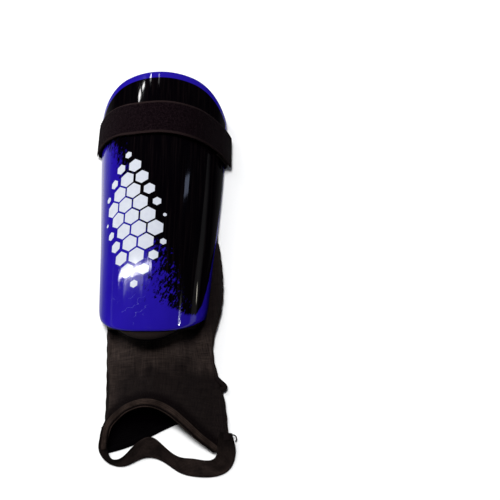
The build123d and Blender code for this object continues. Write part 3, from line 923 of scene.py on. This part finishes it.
class Graph:
    """A material and the node graph behind it."""

    def __init__(self, name, **settings):
        self.material = bpy.data.materials.new(name)
        self.material.use_nodes = True
        self.tree = self.material.node_tree
        self.shader = self.tree.nodes["Principled BSDF"]
        for key, value in settings.items():
            self.shader.inputs[key.replace("_", " ")].default_value = value

    def node(self, kind, **settings):
        node = self.tree.nodes.new(kind)
        for key, value in settings.items():
            setattr(node, key, value)
        return node

    def put(self, socket, value):
        if isinstance(value, Wire):
            self.tree.links.new(value.socket, socket)
        else:
            socket.default_value = value

    def feed(self, kind, *values, **settings):
        """A new node with the values in its first inputs, as the wire from its first output."""
        node = self.node(kind, **settings)
        for socket, value in zip(node.inputs, values):
            self.put(socket, value)
        return Wire(self, node.outputs[0])

    def mark(self):
        """The three pattern coordinates of the mesh, in millimetres."""
        attribute = self.node("ShaderNodeAttribute", attribute_name="mark")
        split = self.node("ShaderNodeSeparateXYZ")
        self.put(split.inputs[0], Wire(self, attribute.outputs["Vector"]))
        self.place = [Wire(self, out) for out in split.outputs]
        return self.place

    def vector(self, x, y, z=0.0):
        return self.feed("ShaderNodeCombineXYZ", x, y, z)

    def facing(self):
        """0 where the surface faces the viewer and 1 where it is seen edge on."""
        return Wire(self, self.node("ShaderNodeLayerWeight").outputs["Facing"])

    def noise(self, where, detail=2.0, rough=0.5):
        node = self.node("ShaderNodeTexNoise")
        node.inputs["Scale"].default_value = 1.0
        node.inputs["Detail"].default_value = detail
        node.inputs["Roughness"].default_value = rough
        self.put(node.inputs["Vector"], where)
        return Wire(self, node.outputs[0])

    def grain(self, wide, long, seed=0.0, detail=2.0, rough=0.5):
        """Noise over the mesh's pattern, with features of this width and length."""
        u, v, _ = self.place
        return self.noise(self.vector(u / wide, v / long, seed), detail, rough)

    def mix(self, share, first, second):
        """The first colour for a share of 0, and the second for 1."""
        node = self.node("ShaderNodeMix", data_type="RGBA")
        self.put(node.inputs[0], share)
        self.put(node.inputs[6], first)
        self.put(node.inputs[7], second)
        return Wire(self, node.outputs[2])

    def set(self, name, value):
        self.put(self.shader.inputs[name], value)

    def bump(self, height, distance):
        """Gives the surface a fine relief, distance millimetres deep."""
        node = self.node("ShaderNodeBump")
        node.inputs["Distance"].default_value = distance * MM
        self.put(node.inputs["Height"], height)
        self.set("Normal", Wire(self, node.outputs[0]))


def hexagons(u, v, pitch, centre, sides):
    """A cluster of hexagons in a slanted four-sided patch, smaller towards its rim: 1 inside
    them, 0 outside. sides are the patch's two half sides."""
    tall = math.sqrt(3)
    x, y = (u - centre[0]) / pitch, (v - centre[1]) / pitch
    cells = []
    for shift in (0.0, 0.5):  # the centres form two shifted grids, and the nearer one counts
        cell_x = (x + shift + 50.5).math("FRACT") - 0.5
        cell_y = ((y / tall + shift + 50.5).math("FRACT") - 0.5) * tall
        cells.append((cell_x, cell_y))
    far = [cx * cx + cy * cy for cx, cy in cells]
    second = far[1].math("LESS_THAN", far[0])
    local = [cells[0][k] + (cells[1][k] - cells[0][k]) * second for k in (0, 1)]
    x, y = (x - local[0]) * pitch, (y - local[1]) * pitch
    (ax, ay), (bx, by) = sides
    area = ax * by - ay * bx
    along = ((x * by - y * bx) / area).size()
    across = ((y * ax - x * ay) / area).size()
    far_out = (along.math("POWER", 4.0) + across.math("POWER", 4.0)).math("POWER", 0.25)
    reach = local[0].size().math("MAXIMUM", local[0].size() * 0.5 + local[1].size() * (tall / 2))
    limit = far_out.ramp(1.16, 0.72) * 0.45
    return (limit - reach).ramp(0.0, 0.012)


# y, and how far right the print's ragged edge lies there
PRINT_EDGE = [(-60, 19.5), (-46, 15.5), (-30, 11.5), (-10, 5), (10, -6), (40, -19), (70, -30),
              (100, -43), (112, -70)]
# y, and how ragged that edge is
PRINT_RAG = [(-60, 44), (-40, 46), (-10, 38), (20, 22), (70, 22), (110, 30)]
# distance right of the front's middle, and the print's lowest y there
PRINT_FOOT = [(0, -50), (22, -54), (36, -56), (47, -48), (54, -34), (62, -6), (70, 40), (80, 110)]
PRINT_TOP = 118.0  # above it the print goes right across
# y, and the width of the blue border round the front
BORDER = [(-60, 4.5), (-20, 2.4), (60, 1.5), (115, 2.4), (130, 3.4), (150, 5.2), (166, 7.2),
          (174, 9.8)]
CELL_PITCH = 14.0
CELLS_MIDDLE = (-19.0, 26.0)
CELLS_SIDES = (20.5, -45.5), (-15.0, -30.5)


def print_mask(graph, border):
    """1 on the black print, which ends in brushed strokes and flecks, and 0 on the blue."""
    u, v, rim = graph.place
    slanted = graph.vector((u * 0.88 - v * 0.47) / 1.7, (u * 0.47 + v * 0.88) / 7.0)
    strokes = graph.noise(slanted, 4.0, 0.68) - 0.5
    flecks = graph.grain(1.5, 2.2, 3.0, 3.0, 0.7) - 0.5
    blots = graph.grain(5.5, 8.0, 8.0, 4.0, 0.62) - 0.5
    rag = (strokes * 1.9 + flecks * 1.2 + blots * 1.5) * v.curve(PRINT_RAG)
    past_edge = ((u - v.curve(PRINT_EDGE)) + rag).ramp(-6.5, 3.5)
    above_foot = ((v - u.curve(PRINT_FOOT)) + strokes * 9).ramp(-1.0, 1.5)
    printed = (past_edge * above_foot).math("MAXIMUM", v.ramp(PRINT_TOP, PRINT_TOP + 3))
    return printed * (rim - border).ramp(-0.25, 0.25)


def blue_ground(graph, border):
    """The blue under the print, of another tone in the border at the knee end. The border is
    lighter at the knee end, a painted reflection, and darker on the flanks, a painted shade.
    """
    _, v, rim = graph.place
    blue = graph.mix(graph.grain(26, 40, 1.0), rgb(22, 9, 124), rgb(36, 21, 152))
    # The border's tone holds painted light: lighter at the knee end as a painted reflection, darker
    # on the flanks as painted shade.
    border_blue_and_light = graph.mix(v.ramp(120.0, 165.0), rgb(18, 8, 116), rgb(31, 19, 141))
    return graph.mix((border + 0.6 - rim).ramp(0.0, 0.6) * v.ramp(-30.0, 60.0), blue, border_blue_and_light)


def scratched_with_highlight(graph, colour):
    """The colour with fine scratches at the foot end and a painted highlight line on the right
    flank.
    """
    u, v, _ = graph.place
    scratch = (graph.grain(17, 11, 9.0) - 0.5).size().ramp(0.003, 0.001)
    where = graph.grain(20, 20, 4.0, 1.0).ramp(0.57, 0.62) * v.ramp(-35.0, -50.0)
    where = where * u.ramp(3.0, -6.0)
    colour = graph.mix(scratch * where * 0.4, colour, rgb(150, 150, 205))
    # Painted highlight: a pale line on the right flank in place of a thin reflected streak of
    # light.
    line = (u - 42.4).size().ramp(0.6, 0.15) * (v + 35.0).size().ramp(11.0, 3.0)
    return graph.mix(line * 0.8, colour, rgb(214, 208, 192))


def clear_coat(graph, printed):
    """Gloss that is full where the front faces the viewer or is seen edge on, gone between, and
    lower on the print."""
    _, v, _ = graph.place
    graph.set("Coat Roughness", graph.grain(3.0, 60.0, 2.0, 3.0, 0.6) * 0.05 + 0.03)
    facing = graph.facing()
    steep = facing.curve([(0, 0), (0.5, 0), (0.6, 0.2), (0.7, 0.5), (0.8, 1), (1, 1)])
    steep = steep * (v.ramp(-60.0, 90.0) * 0.75 + 0.55)
    weight = facing.ramp(0.45, 0.38) * (printed * -0.46 + 0.6) + steep * (printed * -0.5 + 0.6)
    graph.set("Coat Weight", weight.math("MINIMUM", 0.8))


def printed_shell():
    """Blue plastic under a black print and a cluster of white cells, with a clear coat."""
    graph = Graph("printed_shell", Roughness=0.4, Coat_IOR=1.42, Specular_IOR_Level=0.0)
    u, v, _ = graph.mark()
    border = v.curve(BORDER)
    dark = print_mask(graph, border)
    streaks = graph.grain(2.4, 70, 6.0, 3.0, 0.6).ramp(0.42, 0.8)
    black = graph.mix(streaks, rgb(2, 1, 3), rgb(14, 9, 10))
    colour = graph.mix(dark, blue_ground(graph, border), black)
    cells = hexagons(u, v, CELL_PITCH, CELLS_MIDDLE, CELLS_SIDES)
    smudges = graph.grain(5, 5, 7.0, 5.0, 0.65).ramp(0.3, 0.72)
    white = graph.mix(smudges, rgb(189, 193, 205), rgb(198, 202, 210))
    graph.set("Base Color", scratched_with_highlight(graph, graph.mix(cells, colour, white)))
    clear_coat(graph, dark * (cells * -1.0 + 1.0))
    graph.bump(graph.grain(14, 34, 0.0), 0.035)
    return graph.material


def cloth(name, low, high, wale, course, depth=0.25, dust_and_light=0.0, inner=(1, 0, 1)):
    """Knitted cloth: threads wale apart across it and course apart along it. The share given before
    inner sets how much paler it is just below the guard and towards its left edge than elsewhere:
    partly dust and partly painted light, with painted shade lower down and under the guard. inner
    is the colour of its hidden side, nearly black by default as painted shade inside the sleeve.
    The third coordinate is the distance from a cut edge, plus 1: beside the edge it is darker, a
    painted shadow such as the instep tape casts."""
    graph = Graph(name, Roughness=0.85, Sheen_Weight=0.02, Sheen_Roughness=0.5,
                  Sheen_Tint=rgb(150, 140, 135), Specular_IOR_Level=0.06)
    u, v, side = graph.mark()
    wander = graph.grain(13, 13, 5.0) * 2.2
    across = (u + wander).sine(wale) * 0.5 + 0.5
    along = (v + wander).sine(course) * 0.5 + 0.5
    weave = across.math("MAXIMUM", along * 0.9)
    weave = weave + graph.grain(0.5, 0.5) * 0.5
    wales = graph.noise(graph.vector((u + wander) / 0.95, v / 17, 1.0), 2.0, 0.6)
    courses = graph.noise(graph.vector(u / 17, (v + wander) / 0.95, 2.0), 2.0, 0.6)
    lint = graph.grain(5, 5, 3.0, 4.0, 0.65)
    tone = weave * 0.22 + (wales + courses) * 1.1 + lint * 0.5 - 1.05
    # Painted light and shade, partly dust: paler just below the guard and towards the left edge,
    # darker lower down towards the instep tape and under the guard.
    drift = v + (graph.grain(14, 14, 7.0, 3.0) - 0.5) * 40
    clean_and_shaded = drift.ramp(-76.0, -102.0) * (u.ramp(26.0, 4.0) * -0.85 + 1.0)
    clean_and_shaded = clean_and_shaded.math("MAXIMUM", v.ramp(-70.0, -52.0))
    tone = tone * (clean_and_shaded * -dust_and_light + 1.0)
    colour = graph.mix(tone.clamped(), rgb(*low), rgb(*high))
    # Painted shadow: the cloth is drawn darker within about ten millimetres of a cut edge, as the
    # instep tape shades it.
    colour = graph.mix(side.ramp(12.5, 7.0) * 0.8, colour, rgb(5, 2, 3))
    # Painted shade: the hidden side takes the near-black inner colour, for the inside of the sleeve
    # seen through its opening.
    graph.set("Base Color", graph.mix(side.ramp(0.5, -0.5), colour, rgb(*inner)))
    graph.bump(weave, depth)
    return graph.material


def ribbed(name, low, high, rib, pick, depth=0.35, grooves=(), inner=None, shade_along=None):
    """Woven tape: ribs run along it, crossed by fine picks. grooves are the places across it of
    sewn-down lines, drawn dark as painted shade; inner is the colour of its hidden side; and a
    table of places along it can set how pale it is there, a painted shade that darkens the
    stirrup's ends."""
    graph = Graph(name, Roughness=0.8, Sheen_Weight=0.01, Sheen_Roughness=0.4,
                  Sheen_Tint=rgb(160, 150, 145), Specular_IOR_Level=0.04)
    u, v, side = graph.mark()
    ribs = (u.sine(rib) * 0.5 + 0.5).math("POWER", 0.6)
    picks = (v + ribs * 0.4).sine(pick) * 0.5 + 0.5
    height = ribs * 0.75 + picks * 0.25 + graph.grain(0.4, 0.4, 0.0, 1.0) * 0.3
    patches = graph.grain(9, 12, 3.0, 3.0, 0.6).ramp(0.3, 0.72)
    lint = graph.grain(1.3, 1.9, 8.0, 4.0, 0.7)
    tone = (height * 0.45 + lint * 0.9 - 0.3) * (patches * 0.75 + 0.3)
    # Painted shade along the tape: paler in the middle, darker towards both ends.
    if shade_along:
        tone = tone * v.curve(shade_along)
    colour = graph.mix(tone.clamped(), rgb(*low), rgb(*high))
    # Painted shade: each sewn-down groove is drawn nearly black, as shade in its hollow.
    for place in grooves:
        colour = graph.mix((u - place).size().ramp(0.95, 0.45), colour, rgb(5, 3, 3))
    # Painted shade: a near-black hidden side, which shows on the heel tape inside the opening.
    if inner:
        colour = graph.mix(side.ramp(0.5, -0.5), colour, rgb(*inner))
    graph.set("Base Color", colour)
    graph.bump(height, depth)
    return graph.material


def loop_pile():
    """Brushed loops, with a paler woven edge, darkened towards the strap's right end by painted
    shade.
    """
    graph = Graph("loop_pile", Roughness=0.95, Sheen_Weight=0.02, Sheen_Roughness=0.6,
                  Sheen_Tint=rgb(120, 100, 100), Specular_IOR_Level=0.03)
    u, v, _ = graph.mark()
    curls = graph.grain(0.55, 0.55, 0.0, 4.0, 0.75)
    tufts = graph.grain(2.6, 2.6, 4.0, 3.0, 0.6)
    selvedge = u.size().ramp(STRAP_HALF_WIDTH - 1.7, STRAP_HALF_WIDTH - 0.8)
    clumps = graph.grain(1.2, 1.2, 6.0, 3.0, 0.8)
    tone = (curls * 0.35 + clumps * 0.75 + tufts * 0.3).ramp(0.6, 0.98)
    colour = graph.mix(tone, rgb(4, 1, 3), rgb(38, 27, 32))
    colour = graph.mix(selvedge * 0.7, colour, rgb(42, 32, 32))
    # Painted shade: the pile darkens towards the strap's right end, which turns away from the
    # light.
    graph.set("Base Color", graph.mix(v.ramp(85.0, 130.0) * 0.6, colour, rgb(3, 1, 3)))
    graph.bump(curls + tufts * 0.6, 0.7)
    return graph.material


def plain(name, colour, roughness, size, depth, shine):
    """One colour, speckled with a fine grain of this size."""
    graph = Graph(name, Roughness=roughness, Specular_IOR_Level=shine)
    side = graph.mark()[2]
    speckle = graph.grain(size, size, side, 4.0, 0.7)
    darker = tuple(c * 0.55 for c in colour)
    graph.set("Base Color", graph.mix(speckle.ramp(0.3, 0.7), rgb(*darker), rgb(*colour)))
    graph.bump(speckle, depth)
    return graph.material


materials = {
    "printed_shell": printed_shell(),
    "eva_foam": plain("eva_foam", (36, 29, 27), 0.85, 0.5, 0.12, 0.06),
    "lining_knit": cloth("lining_knit", (8, 5, 6), (36, 29, 28), 1.1, 1.4),
    "ribbed_elastic": ribbed("ribbed_elastic", (14, 9, 9), (52, 43, 41), 1.6, 0.9),
    "loop_pile": loop_pile(),
    "hook_tape": plain("hook_tape", (28, 24, 24), 0.5, 0.45, 0.5, 0.2),
    "webbing": ribbed("webbing", (12, 9, 9), (44, 36, 35), 2.0, 1.1),
    "thread": plain("thread", (23, 17, 17), 0.7, 0.3, 0.05, 0.05),
    # The sleeve's paleness below the guard is partly dust and partly painted light, with painted
    # shade lower down.
    "sleeve_knit": cloth("sleeve_knit", (9, 6, 7), (65, 55, 51), 1.25, 1.1, 0.3, dust_and_light=0.8),
    # The binding tape's grooves and hidden side are nearly black: painted shade.
    "binding_tape": ribbed("binding_tape", (14, 9, 8), (60, 49, 44), 1.3, 0.8, 0.15,
                           grooves=(FOLD_GROOVE, STITCH_GROOVE), inner=(2, 1, 2)),
    # Painted shade: the stirrup is darker towards both ends, most at the right end.
    "stirrup_elastic": ribbed("stirrup_elastic", (7, 5, 5), (52, 42, 39), 1.1, 0.7, 0.2,
                              shade_along=[(0, 0.25), (30, 0.4), (48, 0.9), (70, 0.8), (100, 1.0),
                                      (125, 0.7), (140, 0.15), (190, 0.05)]),
}
make_guard()
make_strap()
make_strap_stitches()
make_sleeve_cloth()
make_hem_and_seams()
make_bindings()
make_pads()
make_sleeve_details()
make_stirrup()


# ---- Floor, light and camera ----
def floor_material():
    """Nearly white, with the faintest unevenness."""
    graph = Graph("pale_floor", Roughness=0.9, Specular_IOR_Level=0.1)
    place = graph.node("ShaderNodeTexCoord")
    speckle = graph.noise(Wire(graph, place.outputs["Object"]), 3.0)
    graph.set("Base Color", graph.mix(speckle, (0.92, 0.92, 0.92, 1), (0.95, 0.95, 0.95, 1)))
    return graph.material


FLOOR_HALF = 4
corners = [(x * FLOOR_HALF, y * FLOOR_HALF, 0) for x, y in ((-1, -1), (1, -1), (1, 1), (-1, 1))]
mesh = bpy.data.meshes.new("floor")
mesh.from_pydata(corners, [], [(0, 1, 2, 3)])
mesh.materials.append(floor_material())
floor = bpy.data.objects.new("floor", mesh)
bpy.context.scene.collection.objects.link(floor)


def aim(thing, place, target, long_way=(1, 0, 0)):
    """Puts a light or the camera at a place, facing the target, with its width along long_way."""
    back = (Vector(place) - Vector(target)).normalized()
    up = back.cross(Vector(long_way)).normalized()
    turn = Matrix((up.cross(back), up, back)).transposed()
    thing.matrix_world = Matrix.Translation(place) @ turn.to_4x4()
    bpy.context.scene.collection.objects.link(thing)


def area_light(name, place, target, size, brightness, long_way=(1, 0, 0), colour=(1, 1, 1)):
    """A rectangular lamp. brightness is how bright its face looks, with 1 for white paper."""
    light = bpy.data.lights.new(name, "AREA")
    light.shape = "RECTANGLE"
    light.size, light.size_y = size
    light.energy = brightness * math.pi * size[0] * size[1]
    light.color = colour
    aim(bpy.data.objects.new(name, light), place, target, long_way)


sun = bpy.data.lights.new("daylight", "SUN")
sun.energy, sun.angle = 2.7, 0.35
daylight = bpy.data.objects.new("daylight", sun)
daylight.visible_glossy = False
aim(daylight, (-0.1, 0.14, 1.0), (0, 0, 0))


def mirrored_light(name, place, direction, size, brightness, slope=0.0):
    """An area light seen mirrored in the hard front at a place, given in millimetres. direction
    is where the mirrored view goes, and slope turns the light's width towards the knee."""
    distance = 1.4
    back = Vector(direction).normalized()
    width = Vector((0, 1, 0)).cross(back).normalized() + Vector((0, slope, 0))
    middle = Vector(place) * MM
    area_light(name, middle + back * distance, middle, size, brightness, width)


# a tube lamp that bends over the front from the left, in four straight parts, and its haze
tube_place, towards_knee, round_front = (-12, -20, 44), 0.376, 0.928
for part, (lean, brightness) in enumerate(((14, 70), (34, 130), (52, 130), (66, 75))):
    left, up = (share(math.radians(lean)) * round_front for share in (math.sin, math.cos))
    mirrored_light(f"tube_left_{part}", tube_place, (-left, towards_knee, up), (0.44, 0.013),
                   brightness)
mirrored_light("tube_haze", tube_place, (-0.6, towards_knee, 0.7), (1.0, 0.07), 4)
# lamps mirrored near the knee end, at the right flank and at the foot end
mirrored_light("tube_far", (-22.2, 147.4, 45.9), (-0.555, 0.635, 0.545), (0.085, 0.042), 200, 0.78)
mirrored_light("tube_far_end", (-19.5, 157.5, 46.5), (-0.475, 0.66, 0.585), (0.08, 0.03), 200, 0.55)
mirrored_light("tube_rim", (-13.5, 167, 47.4), (-0.325, 0.69, 0.65), (0.04, 0.05), 50)
mirrored_light("tube_rim_end", (-5.8, 167, 48.1), (-0.14, 0.69, 0.71), (0.04, 0.05), 14)
area_light("lamp_right", (1.11, 0.36, 0.62), (0.021, -0.062, 0.036), (0.07, 0.06), 9,
           (0.5, 0, -0.9), (0.8, 0.86, 1))
area_light("lamp_far_right", (0.9, 0.68, 0.76), (0.022, 0.057, 0.042), (0.16, 0.07), 20,
           (0.5, 0, -0.9), (0.6, 0.7, 1))
mirrored_light("lamp_foot", (21.5, -65.7, 35.6), (0.849, 0.312, 0.423), (0.1, 0.004), 190)

# a dim room that lights and is mirrored, with a pale wall where the camera looks past the floor
world = bpy.data.worlds.new("room")
world.use_nodes = True
room = world.node_tree.nodes["Background"]
room.inputs["Color"].default_value = (0.95, 0.97, 1.0, 1)
seen = world.node_tree.nodes.new("ShaderNodeLightPath")
wall = world.node_tree.nodes.new("ShaderNodeMath")
wall.operation = "MULTIPLY_ADD"
wall.inputs[1].default_value, wall.inputs[2].default_value = 0.9, 0.05
world.node_tree.links.new(seen.outputs["Is Camera Ray"], wall.inputs[0])
world.node_tree.links.new(wall.outputs[0], room.inputs["Strength"])
bpy.context.scene.world = world
bpy.context.scene.view_settings.view_transform = "Standard"

# the camera looks down at 62 degrees from 0.7 m away, at a place to the right of the guard
camera = bpy.data.cameras.new("camera")
camera.lens, camera.sensor_width = 58.8, 36.0
camera_object = bpy.data.objects.new("camera", camera)
camera_target = Vector((0.075, 0.018, 0.0))
aim(camera_object, camera_target + Vector((0, -0.3286, 0.618)), camera_target)
bpy.context.scene.camera = camera_object
